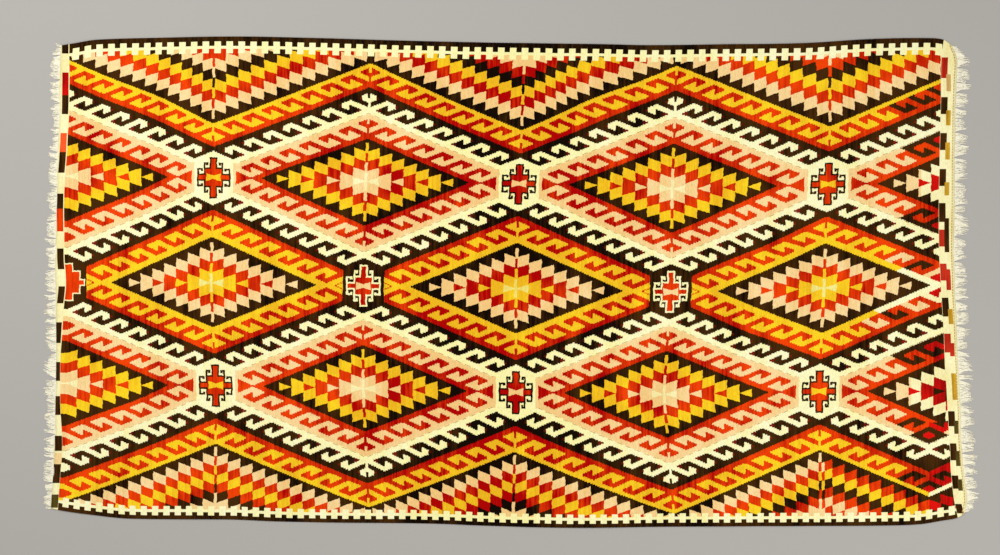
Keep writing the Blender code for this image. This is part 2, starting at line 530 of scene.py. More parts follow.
def band_yarn(aside, height, away, from_fold, runs, steps, corner):
    """The yarn of the three hooked bands."""
    band, depth, slant, place, beside, outer, number = hooks(aside, away)
    middle_row = height < float(ROW_SPACING)
    first = band < HALF
    third = band > 1.0 + HALF
    second = (~first) & (~third)
    plain_low = (first & (slant < LOW_ENDS[0])) | (second & (slant < LOW_ENDS[1]))
    plain_high = (second & (slant > HIGH_ENDS[0])) | (third & (slant > HIGH_ENDS[1]))
    plain_high = middle_row & plain_high
    closed = (from_fold < SLIT) & (first | ~middle_row)
    closed = closed | (third & (from_fold > HALF_REPEAT - SLIT))
    opened = closed & (depth > LINE - HALF) & (depth < SPLIT[0])
    outer = (outer | (closed & (depth > SPLIT[1]))) & (~opened)
    outer = (outer & (~plain_low)) | plain_high
    last = runs > LAST_PART
    ended = second & last & (steps < LAST_CORNER) & (number < LAST_RED) & (depth > LINE - HALF)
    outer = outer | ended
    on_line = depth > OUTER_LINE - HALF
    near_side = (steps < 0.0) & (~middle_row)
    left_over = choose(middle_row & (steps > 0.0), number + 1.0, number)
    gold_end = choose(middle_row & (~on_line), LAST_GOLD + 1.0, LAST_GOLD)
    gold_end = choose(near_side, LAST_GOLD - 1.0, gold_end)
    spent = last & third & ((left_over < gold_end) | corner)
    far_gold = spent & (~middle_row) & (~(corner & on_line))
    far_third = third & (steps > 0.0) & (~middle_row)
    last_red = (last & (number < LAST_RED) & (~far_third)) | corner
    inner_yarn = choose(second, YARN["white"], choose(last_red, YARN["crimson"], YARN["red"]))
    outer_yarn = choose(first, YARN["pink"], choose(third, YARN["gold"], YARN["black"]))
    pink_end = choose(near_side & on_line, LAST_PINK - 1.0, LAST_PINK)
    outer_yarn = choose(first & last & (number < pink_end), YARN["black"], outer_yarn)
    spare_hook = choose(abs(left_over - 4.0) < HALF, YARN["black"],
                        choose(left_over > LAST_RED, YARN["pink"], YARN["cream"]))
    spare = choose(on_line, choose(far_gold, YARN["gold"], YARN["white"]),
                   choose(middle_row, spare_hook, YARN["black"]))
    outer_yarn = choose(spent, spare, outer_yarn)
    tip = second & (beside < -2.5) & (place < HEAD_END) & (place > 2.0) & (depth < OUTER_LINE)
    knot = second & (beside > 3.0) & (beside < 5.0) & (place > ARM_END) & (depth < 18.5)
    outer_yarn = choose((tip | knot) & (~plain_high) & (~ended), YARN["oxblood"], outer_yarn)
    return choose(outer, outer_yarn, inner_yarn)


print("the gold yarn ends", LAST_GOLD, "hooks before the end of the net")

# %% [markdown]
# ## Stepped lozenges
# The heart of every diamond is a heap of lozenges with upright sides and slanting tops, about
# five runs wide and ten steps tall, in rings of one colour. A thin upright line marks the
# middle. The half diamonds at the selvedges use the same lozenges in longer rings. Separate
# lozenges could be laid as little faces, but here one division and one list give them all.

# %% Yarns of the lozenges
LOZENGE_RUNS = 5.2
LOZENGE_STEPS = 10.0
COLUMN_CLIMB = 5.0     # steps from one column of lozenges to the next
TOP_SLANT = 4.0        # steps that the slanting top falls across a lozenge
MIDDLE_LINE = 0.6      # half the width of the thin upright line, in runs
LINE_SHIFT = (9.0, 10.0)       # steps that the line's yarns are shifted, in a heart and a heap
FAR_HEAP = (70.3, 10.9)        # foot and lozenge height of the half diamonds, in steps
NEAR_HEAP = (68.6, 8.7)
LAST_HEARTS = (140.0, 167.0)   # runs where the last hearts start and change yarns
LAST_HEAP = 130.0              # run where the last half diamond starts
LIST_LENGTH = 8                # yarns in one list below
HEARTS = (("cream", "pink", "red", "gold") + ("black",) * 4
          + ("pale_yellow", "gold", "red", "pink") + ("black",) * 4
          + ("red", "black", "crimson", "pink") + ("black",) * 4
          + ("red", "black", "crimson", "cream") + ("black",) * 4)
EDGE_HEAPS = (("black", "pink", "red", "gold", "black", "pink", "red", "red")
              + ("black", "pink", "red", "gold", "black", "red", "pink", "pink")
              + ("black", "pink", "red", "gold", "red", "black", "pink", "pink")
              + ("black", "red", "gold", "black", "red", "pink", "red", "red"))


def lozenge_yarn(aside, height, away, runs, steps, corner):
    """The yarn of the diamond hearts and of the half diamonds at the selvedges."""
    ring = aside + away
    outer_row = ring < FIRST_BAND
    at_edge = (~outer_row) & (height > float(ROW_SPACING))
    sideways = choose(outer_row, aside, HALF_REPEAT - aside)
    far_side = steps > 0.0
    heap_foot = choose(far_side, FAR_HEAP[0], NEAR_HEAP[0])
    upright = choose(outer_row, away, choose(at_edge, away - heap_foot, height))
    share = sideways / LOZENGE_RUNS
    column = maths("FLOOR", share)
    climb = column * COLUMN_CLIMB - (share - column) * TOP_SLANT
    on_line = sideways < MIDDLE_LINE
    heart = choose(on_line, upright - LINE_SHIFT[0], upright + climb)
    heap = choose(on_line, upright + LINE_SHIFT[1], upright - climb)
    tall = choose(at_edge, choose(far_side, FAR_HEAP[1], NEAR_HEAP[1]), LOZENGE_STEPS)
    layer = maths("FLOOR", choose(at_edge, heap, heart) / tall) + 1.0
    layer = maths("MINIMUM", maths("MAXIMUM", layer, 0.0), LIST_LENGTH - 1.0)
    last_heart = outer_row & (runs > LAST_HEARTS[0])
    last_list = choose(runs > LAST_HEARTS[1], 3.0, 2.0)
    heart_list = choose(last_heart, last_list, choose(outer_row, 0.0, 1.0))
    heart_yarn = pick(heart_list * LIST_LENGTH + layer, HEARTS)
    late = runs > LAST_HEAP
    heap_list = choose(far_side, choose(runs > -HALF_REPEAT, 1.0, 0.0), choose(late, 3.0, 2.0))
    heap_list = choose((~far_side) & (runs > HALF_REPEAT) & (~late), 1.0, heap_list)
    corner_yarn = choose(maths("PINGPONG", layer, 1.0) > HALF, YARN["crimson"], YARN["black"])
    heap_yarn = choose(corner, corner_yarn, pick(heap_list * LIST_LENGTH + layer, EDGE_HEAPS))
    return choose(at_edge, heap_yarn, heart_yarn)


print(len(HEARTS) // LIST_LENGTH, "lists of yarns for the hearts")
print(len(EDGE_HEAPS) // LIST_LENGTH, "lists for the half diamonds")

# %% [markdown]
# ## Medallions
# A small hooked medallion fills each crossing. It is built of upright boxes: a body, a tall
# bar, a long bar and eight little hooks. The distance to the nearest box gives the red shape
# where it is below zero, and its outline just outside.

# %% Yarns of the medallions
def box_distance(x, y, centre, half):
    """How far outside an upright box a point is, in millimetres."""
    return maths("MAXIMUM", abs(x - centre[0]) - half[0], abs(y - centre[1]) - half[1])


#                 centre        half size
MEDALLION_BOXES = (((0, 0), (26, 26)),
                   ((0, 0), (7.5, 59)),
                   ((0, 0), (49, 6.5)))
HOOK_BOXES = (((50.8, 14), (2.5, 14)), ((44, 25.5), (9, 2.4)), ((37.7, 23.8), (3.3, 4.2)),
              ((28, 38), (2.4, 9)), ((23.8, 44.5), (6.2, 2.4)), ((20.4, 42.3), (3, 4.6)))
HALF_MEDALLION_BOXES = (((0, 0), (18, 54)), ((0, 0), (42, 32)), ((0, 0), (57, 7)))
MEDALLION_OUTLINE = 5.0
HOOK_OUTLINE = 0.5
CUT_OUTLINE = 3.8              # outline of the medallion that the left end cuts in half
CUT_MEDALLION = -160.0         # run before which that medallion lies
BOW = (23.0, 0.3, 5.2)         # length of the bow in a medallion, its spread and its waist
GOLD_BOWS = 100.0              # runs from the middle past which the bows are gold


def nearest_box(x, y, boxes):
    """The distance to the nearest of several boxes."""
    nearest = None
    for centre, half in boxes:
        distance = box_distance(x, y, centre, half)
        nearest = distance if nearest is None else maths("MINIMUM", nearest, distance)
    return nearest


def medallion_yarn(aside, height, away, dark, ground, runs):
    """The yarn of a medallion on its cream or black ground."""
    x = choose(dark, aside, HALF_REPEAT - aside) * RUN
    y = choose(dark, height, away) * STEP
    shape = nearest_box(x, y, MEDALLION_BOXES)
    curl = nearest_box(x, y, HOOK_BOXES)
    bow = (x < BOW[0]) & (y < x * BOW[1] + BOW[2])
    bow_yarn = choose(abs(runs) > GOLD_BOWS, YARN["gold"], YARN["pink"])
    body = choose(bow, bow_yarn, YARN["red"])
    outline = choose(dark, YARN["white"], YARN["black"])
    edged = (shape < MEDALLION_OUTLINE) | (curl < HOOK_OUTLINE)
    whole = choose(shape < 0.0, body, choose(edged, outline, ground))
    cut = nearest_box(x, y, HALF_MEDALLION_BOXES)
    cut_yarn = choose(cut < 0.0, YARN["red"], choose(cut < CUT_OUTLINE, YARN["cream"], ground))
    return choose(runs < CUT_MEDALLION, cut_yarn, whole)


print("a medallion is built of", len(MEDALLION_BOXES) + len(HOOK_BOXES), "boxes, folded twice")

# %% [markdown]
# The parts of the pattern now go over one another, as a painter would lay them: bands, then
# lozenges in the rings that the bands leave, a dashed tan line of painted shade in the slits at
# the edge of the first band, and the medallions last. Bands are counted in whole counts so that
# they climb in steps. The rest keeps fine counts, because its own edges are upright or slanting.

# %% The whole field
SLIT_SHADE_HALF = 0.35               # half the width of the dashed line of painted slit shade, in counts
SLIT_SHADE_PITCH = 3.7               # steps from one dash of painted slit shade to the next
SLIT_SHADE_SHARE = 0.55              # share of the pitch that a dash of painted shade fills
LIGHT_GROUND = 8.4             # half the width of a cream ground, in runs
DARK_GROUND = 8.7              # the same for a black one
GROUND_REACH = 27.0            # counts from a crossing to the points of its ground
STRIP = (9.6, 15.0)            # where the pink strip beside a cream ground ends, runs and steps


def field_yarn(runs, steps, corner):
    """The yarn of the field at a count of the pattern."""
    aside, height, away = fold(snapped(runs), snapped(steps))
    fine_aside, fine_height, fine_away = fold(runs, steps)
    yarn = band_yarn(aside, height, away, fine_aside, runs, steps, corner)
    ring = aside + away
    half_diamond = height > float(ROW_SPACING)
    heap_start = choose(half_diamond, OUTER - 2.0 - HALF, OUTER - HALF)
    in_lozenges = (ring < FIRST_BAND - HALF) | (ring > heap_start)
    stones = lozenge_yarn(fine_aside, fine_height, fine_away, runs, steps, corner)
    yarn = choose(in_lozenges, stones, yarn)
    last_count = (ring > FIRST_BAND + BAND - 1.0 - HALF) & (ring < FIRST_BAND + BAND)
    yarn = choose(last_count, YARN["white"], yarn)
    # Painted shade: a dashed tan line stands for the shadow seen in the slits at the edge of the first
    # band.
    slit_shade = abs(fine_aside + fine_away - FIRST_BAND - BAND + 1.0) < SLIT_SHADE_HALF
    slit_shade = slit_shade & (maths("FRACT", steps / SLIT_SHADE_PITCH) < SLIT_SHADE_SHARE)
    yarn = choose(slit_shade, YARN["tan"], yarn)
    from_crossing = HALF_REPEAT - fine_aside
    light = (from_crossing < LIGHT_GROUND) & (away + from_crossing < GROUND_REACH)
    strip = (from_crossing > LIGHT_GROUND) & (from_crossing < STRIP[0]) & (away < STRIP[1])
    dark = (fine_aside < DARK_GROUND) & (height + fine_aside < GROUND_REACH)
    yarn = choose(strip, YARN["pink"], yarn)
    ground = choose(dark, YARN["black"], YARN["white"])
    medallion = medallion_yarn(fine_aside, fine_height, fine_away, dark, ground, runs)
    return choose(light | dark, medallion, yarn)


print(f"a cream ground is {2 * LIGHT_GROUND * RUN:.0f} mm long")

# %% [markdown]
# ## Selvedges and ends
# Along each selvedge runs a black band with a white line and small white squares on it, like
# a battlement. At each end the field stops at a thin cream line, and then come bars of
# coloured weft worked one after another down the edge.

# %% Yarns of the selvedge border
EDGE_WOBBLE = 3.0              # how unsteady the weaver's lines at the edges are, in millimetres
#              from the edge, pitch, half height of a square
FAR_BATTLEMENT = (34.0, 37.1, 18.5)
NEAR_BATTLEMENT = (27.0, 35.2, 14.5)
SQUARE_SHARE = 0.55            # share of the pitch that a square fills
WHITE_LINE = 4.4               # half the width of the white line


def border_yarn(yarn, along_edge, from_near, from_far, wobble):
    """Lay the black band with its white battlement over the edge of the field."""
    far_side = from_far < from_near
    inset, pitch, half_height = [choose(far_side, far_value, near_value) for far_value, near_value
                                 in zip(FAR_BATTLEMENT, NEAR_BATTLEMENT)]
    inwards = choose(far_side, from_far, from_near) - inset + wobble * EDGE_WOBBLE
    share = maths("FRACT", (along_edge + wobble * 2.0 * EDGE_WOBBLE) / pitch)
    square = (share < SQUARE_SHARE) & (abs(inwards) < half_height)
    line = abs(inwards) < WHITE_LINE
    yarn = choose(inwards < 0.0, YARN["black"], yarn)
    return choose(square | line, YARN["white"], yarn)


print(f"squares every {FAR_BATTLEMENT[1]} mm on the far side, {NEAR_BATTLEMENT[1]} mm on the near")

# %% [markdown]
# The bars at the ends are brocaded one by one in whatever yarn was left, so they follow no
# rule. Each is a line in a list, and one ramp reads the list down the edge. A second row of
# bars stands outside the first at the right end, with a line of hem stitches beyond it.

# %% Yarns of the bars at the ends
#             from    to   yarn, going down from the far corner, in millimetres across the rug
LEFT_BARS = ((743, 714, "black"), (655, 587, "crimson"), (587, 523, "black"), (469, 407, "orange_red"),
             (407, 344, "black"), (278, 226, "black"), (226, 160, "red"), (102, 39, "black"),
             (-17, -71, "black"), (-129, -190, "black"), (-250, -310, "black"), (-357, -417, "black"),
             (-483, -532, "black"), (-535, -570, "pink"), (-570, -630, "black"), (-669, -709, "olive"))
RIGHT_BARS = ((702, 639, "madder"), (579, 526, "black"), (466, 410, "black"), (356, 301, "black"),
              (246, 190, "black"), (165, 111, "madder"), (58, 3, "madder"), (-52, -111, "black"),
              (-165, -221, "madder"), (-407, -457, "black"), (-510, -560, "black"),
              (-611, -653, "black"), (-695, -730, "black"))
OUTER_BARS = ((648, 598, "tan"), (535, 488, "brass"), (435, 382, "brass"), (313, 268, "brass"),
              (196, 90, "black"), (39, -24, "madder"), (-86, -133, "brass"), (-193, -237, "madder"),
              (-290, -369, "brass"), (-435, -479, "olive"), (-529, -576, "olive"),
              (-623, -655, "olive"))


CLOTH_HALF = 760               # half the width that the lists can cover
LEFT_BAR = (2.8, 23.0)         # where a left bar starts and ends, outwards from the field
NEAR_LEFT_GAP = 0.6            # where the nearer left bars start
GAP_CHANGE = -190.0            # place across the rug where that changes
INNER_BAR = (0.8, 21.5)        # the same for the first row of bars at the right end
OUTER_BAR = (17.5, 32.0)       # the same for the second row
HEM = (5.5, 8.5)               # the hem stitches, inwards from the edge of the cloth
HEM_PITCH = 9.0                # from one hem stitch to the next
HEM_SHARE = 0.75               # share of the pitch that a stitch fills


def bars(across_cloth, listed):
    """Read a list of bars down the end of the rug with a ramp. Bare places are cream."""
    edges = {-CLOTH_HALF: "cream"}
    for top, bottom, name in reversed(listed):
        edges[bottom] = name
        edges.setdefault(top, "cream")
    steps = [((place + CLOTH_HALF) / (2 * CLOTH_HALF), grey(edges[place])) for place in sorted(edges)]
    share = (across_cloth + float(CLOTH_HALF)) / (2.0 * CLOTH_HALF)
    return Reading(stepped_ramp(share, steps)) * GREYS


def end_yarn(yarn, across_cloth, inside_left, inside_right, from_right, wobble):
    """Lay the strips with their bars over the two ends of the field."""
    past_left = 0.0 - (inside_left + wobble * EDGE_WOBBLE)
    past_right = 0.0 - (inside_right + wobble * EDGE_WOBBLE)
    gap = choose(across_cloth < GAP_CHANGE, NEAR_LEFT_GAP, LEFT_BAR[0])
    on_left_bar = (past_left < LEFT_BAR[1]) & (past_left - gap > 0.0)
    left_bars = choose(on_left_bar, bars(across_cloth, LEFT_BARS), YARN["cream"])
    yarn = choose(past_left > 0.0, left_bars, yarn)
    inner = bars(across_cloth, RIGHT_BARS)
    outer = bars(across_cloth, OUTER_BARS)
    on_inner = (past_right < INNER_BAR[1]) & (past_right > INNER_BAR[0])
    right_bars = choose(on_inner, inner, YARN["cream"])
    on_outer = (past_right < OUTER_BAR[1]) & (past_right > OUTER_BAR[0])
    on_outer = on_outer & (abs(outer - YARN["cream"]) > HALF)
    right_bars = choose(on_outer, outer, right_bars)
    on_stitch = maths("FRACT", across_cloth / HEM_PITCH) < HEM_SHARE
    stitched = (from_right > HEM[0]) & (from_right < HEM[1]) & on_stitch
    right_bars = choose(stitched, YARN["tan"], right_bars)
    return choose(past_right > 0.0, right_bars, yarn)


print(len(LEFT_BARS), "bars on the left and", len(RIGHT_BARS), "on the right")

# %% [markdown]
# ## Colour of the wool
# Each yarn has one dye, but an old rug never shows it even. Hand-dyed skeins differ, which
# weavers call abrash: it shows as streaks that run with the wefts, here across the rug. So a
# dye is a pair of colours, for a deep skein and a light one, and noises blend the two.

# %% Dye colours
def dye(red, green, blue):
    """A colour as it is seen on a screen, turned into the linear numbers that light uses."""
    shares = [value / 255 for value in (red, green, blue)]
    return [share / 12.92 if share <= 0.04045 else ((share + 0.055) / 1.055) ** 2.4
            for share in shares]


#               a deep skein          a light skein
DYES = {"black": (dye(18, 6, 0), dye(68, 39, 7)),
        "cream": (dye(244, 230, 160), dye(254, 246, 190)),
        "white": (dye(250, 242, 168), dye(254, 250, 200)),
        "pink": (dye(242, 198, 126), dye(252, 219, 156)),
        "red": (dye(172, 0, 0), dye(241, 66, 4)),
        "crimson": (dye(150, 6, 4), dye(225, 18, 10)),
        "orange_red": (dye(225, 55, 18), dye(248, 92, 40)),
        "gold": (dye(236, 180, 30), dye(254, 212, 34)),
        "pale_yellow": (dye(236, 214, 100), dye(246, 240, 150)),
        "tan": (dye(190, 140, 75), dye(215, 175, 105)),
        "olive": (dye(48, 38, 10), dye(88, 74, 28)),
        "madder": (dye(150, 20, 10), dye(205, 52, 28)),
        "oxblood": (dye(84, 12, 4), dye(130, 30, 12)),
        "brass": (dye(150, 110, 20), dye(215, 165, 45))}


def noise(tree, vector, scale, detail):
    """A soft random reading between 0 and 1."""
    node = tree.nodes.new("ShaderNodeTexNoise")
    node.inputs["Scale"].default_value = scale
    node.inputs["Detail"].default_value = detail
    tree.links.new(vector, node.inputs["Vector"])
    return Reading(node.outputs[0])


def stretched(tree, vector, stretch):
    """The same place, with each direction scaled on its own."""
    node = tree.nodes.new("ShaderNodeMapping")
    node.vector_type = "POINT"
    node.inputs["Scale"].default_value = stretch
    tree.links.new(vector, node.inputs["Vector"])
    return node.outputs[0]


def dyed_colour(tree, yarn, skein):
    """Turn a yarn's number into its dye colour, between its deep skein and its light one."""
    place = (yarn + 0.5) / len(YARNS)
    sides = [stepped_ramp(place, [(number / len(YARNS), DYES[name][shade])
                                  for number, name in enumerate(YARNS)]) for shade in (0, 1)]
    blend = tree.nodes.new("ShaderNodeMix")
    blend.data_type = "RGBA"
    blend_ports = [port for port in blend.inputs if port.type == "RGBA"]
    tree.links.new(skein.socket, blend.inputs[0])
    tree.links.new(sides[0], blend_ports[0])
    tree.links.new(sides[1], blend_ports[1])
    return next(port for port in blend.outputs if port.type == "RGBA")


def new_finish(name):
    """An empty node finish, its node tree and its shader."""
    finish = bpy.data.materials.new(name)
    finish.use_nodes = True
    return finish, finish.node_tree, finish.node_tree.nodes["Principled BSDF"]


print("dyes for", len(DYES), "yarns")

# %% [markdown]
# The finish joins everything: it reads the maps, finds the yarn, and dyes it. Small noises
# tremble the counts first, since no pick of weft lies quite straight. Where a skein is light or
# deep follows patches and streaks, and the wool is more faded towards both ends.

# %% Kilim wool finish
LAST_TURN = 174.5              # run where the weaver turned back in the last corner
RUN_TREMBLE = 1.1              # how far the edges of the colours tremble, in runs
STEP_TREMBLE = 1.6             # the same, in steps
FADED_FROM = 110.0             # runs from the middle where the ends are fully faded
MIDDLE_RUN = -8.0
SKEIN_SHARES = (0.68, 1.9, 1.2, 1.9)       # of fading, patches, shapes and streaks
#                 along  across  up: how fine each noise is in each direction
TREMBLE_NOISE = (190.0, 60.0, 1.0)
PATCH_NOISE = (7.0, 3.5, 1.0)
STREAK_NOISE = (130.0, 7.0, 1.0)
SHAPE_NOISE = (26.0, 14.0, 1.0)
SPECKLE_NOISE = (420.0, 90.0, 1.0)
WEFT_NOISE = (900.0, 120.0, 1.0)

woven, tree, shader = new_finish("kilim_wool_finish")
place = tree.nodes.new("ShaderNodeTexCoord").outputs["Object"]


def uneven(stretch, detail):
    """A noise around zero, stretched over the cloth."""
    return noise(tree, stretched(tree, place, stretch), 1.0, detail) - 0.5


wobble = noise(tree, place, 9.0, 1.0) - 0.5
tremble = noise(tree, place, 60.0, 2.0) - 0.5
runs, steps = read_map(tree, "counts")
runs = maths("MAXIMUM", runs + tremble * RUN_TREMBLE, 0.8 - 3.0 * HALF_REPEAT)
steps = steps + uneven(TREMBLE_NOISE, 1.0) * STEP_TREMBLE
near_distance, far_distance = read_map(tree, "from_selvedges")
left_distance, right_distance = read_map(tree, "from_ends")
inside_left, inside_right = read_map(tree, "inside_field")
corner = (runs > LAST_TURN) & (steps < LAST_CORNER)
runs = choose(corner, 2.0 * LAST_TURN - runs, runs)
yarn = field_yarn(runs, steps, corner)
yarn = border_yarn(yarn, left_distance, near_distance, far_distance, wobble)
place_parts = tree.nodes.new("ShaderNodeSeparateXYZ")
tree.links.new(place, place_parts.inputs[0])
across_cloth = Reading(place_parts.outputs[1]) / MM - OFFSET[1]
yarn = end_yarn(yarn, across_cloth, inside_left, inside_right, right_distance, wobble)
faded = maths("SMOOTH_MIN", abs(runs - MIDDLE_RUN) / FADED_FROM, 1.0, 0.3)
skein = faded * SKEIN_SHARES[0] + uneven(PATCH_NOISE, 1.0) * SKEIN_SHARES[1]
skein = skein + uneven(SHAPE_NOISE, 0.0) * SKEIN_SHARES[2]
skein = skein + uneven(STREAK_NOISE, 2.0) * SKEIN_SHARES[3]
skein = maths("MINIMUM", maths("MAXIMUM", skein, 0.0), 1.0)
colour = dyed_colour(tree, yarn, skein)
speckle = noise(tree, stretched(tree, place, SPECKLE_NOISE), 1.0, 1.0)
tone = tree.nodes.new("ShaderNodeHueSaturation")
tree.links.new(colour, tone.inputs["Color"])
tree.links.new((speckle * 0.5 + 0.75).socket, tone.inputs["Value"])
tree.links.new(tone.outputs[0], shader.inputs["Base Color"])
shader.inputs["Roughness"].default_value = 0.92
shader.inputs["Sheen Weight"].default_value = 0.01
shader.inputs["Sheen Roughness"].default_value = 0.5
shader.inputs["Specular IOR Level"].default_value = 0.05
rib = maths("SINE", steps * math.pi)
weft = noise(tree, stretched(tree, place, WEFT_NOISE), 1.0, 1.0)
bump = tree.nodes.new("ShaderNodeBump")
bump.inputs["Strength"].default_value = 0.6
bump.inputs["Distance"].default_value = 0.0006
tree.links.new((abs(rib) * 0.6 + weft * 0.6).socket, bump.inputs["Height"])
tree.links.new(bump.outputs[0], shader.inputs["Normal"])
cloth_mesh.materials.append(woven)
print(f"the kilim finish has {len(tree.nodes)} nodes")

# %% [markdown]
# ## Fringes
# The warps go on past the cloth at both ends as a fringe of plied cream wool. Geometry Nodes
# grow one curved strand on each root point, turn and stretch it by values kept on the point,
# and give it thickness.

# %% Warp wool finish
warp, warp_tree, warp_shader = new_finish("warp_wool_finish")
warp_place = warp_tree.nodes.new("ShaderNodeTexCoord").outputs["Object"]
fuzz = noise(warp_tree, warp_place, 400.0, 2.0)
warp_ramp = warp_tree.nodes.new("ShaderNodeValToRGB")
warp_ramp.color_ramp.elements[0].color = (*dye(240, 226, 184), 1.0)
warp_ramp.color_ramp.elements[1].color = (*dye(255, 254, 238), 1.0)
warp_ramp.color_ramp.elements[0].position = 0.3
warp_ramp.color_ramp.elements[1].position = 0.65
warp_tree.links.new(fuzz.socket, warp_ramp.inputs[0])
warp_tree.links.new(warp_ramp.outputs[0], warp_shader.inputs["Base Color"])
warp_shader.inputs["Roughness"].default_value = 0.9
warp_shader.inputs["Sheen Weight"].default_value = 0.15
warp_bump = warp_tree.nodes.new("ShaderNodeBump")
warp_bump.inputs["Strength"].default_value = 0.5
warp_bump.inputs["Distance"].default_value = 0.0004
warp_tree.links.new(noise(warp_tree, warp_place, 1500.0, 1.0).socket, warp_bump.inputs["Height"])
warp_tree.links.new(warp_bump.outputs[0], warp_shader.inputs["Normal"])
print("warp wool finish ready")

# %% [markdown]
# A strand is a curve before it is a solid. The tree puts one copy of a short arc on each root,
# scales and turns it by the root's own values, lets a noise push it about more towards its tip,
# and only then sweeps a small ring along it. Modelling each strand by hand would take days, and
# this way its thickness and waver stay two numbers.

# %% The strand tree
STRAND_SIDES = 5
STRAND_POINTS = 7


def strand_tree(finish):
    """Geometry Nodes that grow a strand on every root point."""
    tree = bpy.data.node_groups.new("strands", "GeometryNodeTree")
    tree.interface.new_socket("Roots", in_out="INPUT", socket_type="NodeSocketGeometry")
    radius = tree.interface.new_socket("Radius", in_out="INPUT", socket_type="NodeSocketFloat")
    waver = tree.interface.new_socket("Waver", in_out="INPUT", socket_type="NodeSocketFloat")
    tree.interface.new_socket("Strands", in_out="OUTPUT", socket_type="NodeSocketGeometry")
    make, link = tree.nodes.new, tree.links.new
    inputs, outputs = make("NodeGroupInput"), make("NodeGroupOutput")
    arc = make("GeometryNodeCurveQuadraticBezier")
    arc.inputs["Resolution"].default_value = STRAND_POINTS
    arc.inputs["Start"].default_value = (0.0, 0.0, 0.0)
    arc.inputs["Middle"].default_value = (0.5, 0.003, 0.0005)
    arc.inputs["End"].default_value = (1.0, 0.0, -0.0006)
    grow = make("GeometryNodeInstanceOnPoints")
    link(inputs.outputs["Roots"], grow.inputs["Points"])
    link(arc.outputs[0], grow.inputs["Instance"])
    sizes = make("ShaderNodeCombineXYZ")
    sizes.inputs[1].default_value = 1.0
    sizes.inputs[2].default_value = 1.0
    turn = make("ShaderNodeCombineXYZ")
    for name, target in (("reach", sizes.inputs[0]), ("lean", turn.inputs[2])):
        value = make("GeometryNodeInputNamedAttribute")
        value.data_type = "FLOAT"
        value.inputs["Name"].default_value = name
        link(value.outputs["Attribute"], target)
    link(sizes.outputs[0], grow.inputs["Scale"])
    link(turn.outputs[0], grow.inputs["Rotation"])
    realize = make("GeometryNodeRealizeInstances")
    link(grow.outputs[0], realize.inputs[0])
    bend = make("GeometryNodeSetPosition")
    link(realize.outputs[0], bend.inputs["Geometry"])
    wind = make("ShaderNodeTexNoise")
    wind.inputs["Scale"].default_value = 70.0
    centre = make("ShaderNodeVectorMath")
    centre.operation = "SUBTRACT"
    centre.inputs[1].default_value = (0.5, 0.5, 0.5)
    link(wind.outputs["Color"], centre.inputs[0])
    share = make("GeometryNodeSplineParameter")
    strength = make("ShaderNodeMath")
    strength.operation = "MULTIPLY"
    link(share.outputs["Factor"], strength.inputs[0])
    link(inputs.outputs["Waver"], strength.inputs[1])
    level = make("ShaderNodeCombineXYZ")
    link(strength.outputs[0], level.inputs[0])
    link(strength.outputs[0], level.inputs[1])
    push = make("ShaderNodeVectorMath")
    push.operation = "MULTIPLY"
    link(centre.outputs[0], push.inputs[0])
    link(level.outputs[0], push.inputs[1])
    link(push.outputs[0], bend.inputs["Offset"])
    section = make("GeometryNodeCurvePrimitiveCircle")
    section.inputs["Resolution"].default_value = STRAND_SIDES
    link(inputs.outputs["Radius"], section.inputs["Radius"])
    skin = make("GeometryNodeCurveToMesh")
    skin.inputs["Fill Caps"].default_value = True
    taper = make("ShaderNodeMath")
    taper.operation = "MULTIPLY_ADD"
    taper.inputs[1].default_value = -0.5
    taper.inputs[2].default_value = 1.0
    link(share.outputs["Factor"], taper.inputs[0])
    link(taper.outputs[0], skin.inputs["Scale"])
    link(bend.outputs[0], skin.inputs["Curve"])
    link(section.outputs["Curve"], skin.inputs["Profile Curve"])
    coat = make("GeometryNodeSetMaterial")
    coat.inputs["Material"].default_value = finish
    joined = make("GeometryNodeRealizeInstances")
    link(skin.outputs[0], joined.inputs[0])
    link(joined.outputs[0], coat.inputs[0])
    link(coat.outputs[0], outputs.inputs[0])
    return tree, radius.identifier, waver.identifier


STRANDS, RADIUS_KEY, WAVER_KEY = strand_tree(warp)
print("strand tree with", len(STRANDS.nodes), "nodes")


# %% [markdown]
# The roots follow the end of the cloth. Warp ends cling together in tufts of uneven width and
# length, so each strand's reach and lean come from slow sines over its number. A sine gives
# the same fringe on every run, as a seeded random number would.

# %% Grow a fringe
STRANDS_PER_TUFT = 20
STRAND_RADIUS = 1.3
STRAND_WAVER = 9.0
ROOT_HEIGHT = 1.5              # height of a root above the floor
ROOT_DEPTH = 3.0               # how far inside the cloth a root lies


def grow_strands(name, roots, reaches, leans, radius, waver):
    """Run the strand tree over root points and keep the result as a plain mesh."""
    mesh = bpy.data.meshes.new(name + "_roots")
    mesh.from_pydata(roots, [], [])
    for key, values in (("reach", reaches), ("lean", leans)):
        layer = mesh.attributes.new(key, "FLOAT", "POINT")
        layer.data.foreach_set("value", values)
    seed = bpy.data.objects.new(name + "_roots", mesh)
    bpy.context.scene.collection.objects.link(seed)
    grower = seed.modifiers.new("strands", "NODES")
    grower.node_group = STRANDS
    grower[RADIUS_KEY] = radius
    grower[WAVER_KEY] = waver
    ready = seed.evaluated_get(bpy.context.evaluated_depsgraph_get())
    grown = bpy.data.meshes.new_from_object(ready)
    bpy.data.objects.remove(seed, do_unlink=True)
    grown.name = name
    grown.shade_smooth()
    piece = bpy.data.objects.new(name, grown)
    bpy.context.scene.collection.objects.link(piece)
    print(f"{name}: {len(roots)} strands, {len(grown.polygons)} faces")
    return piece


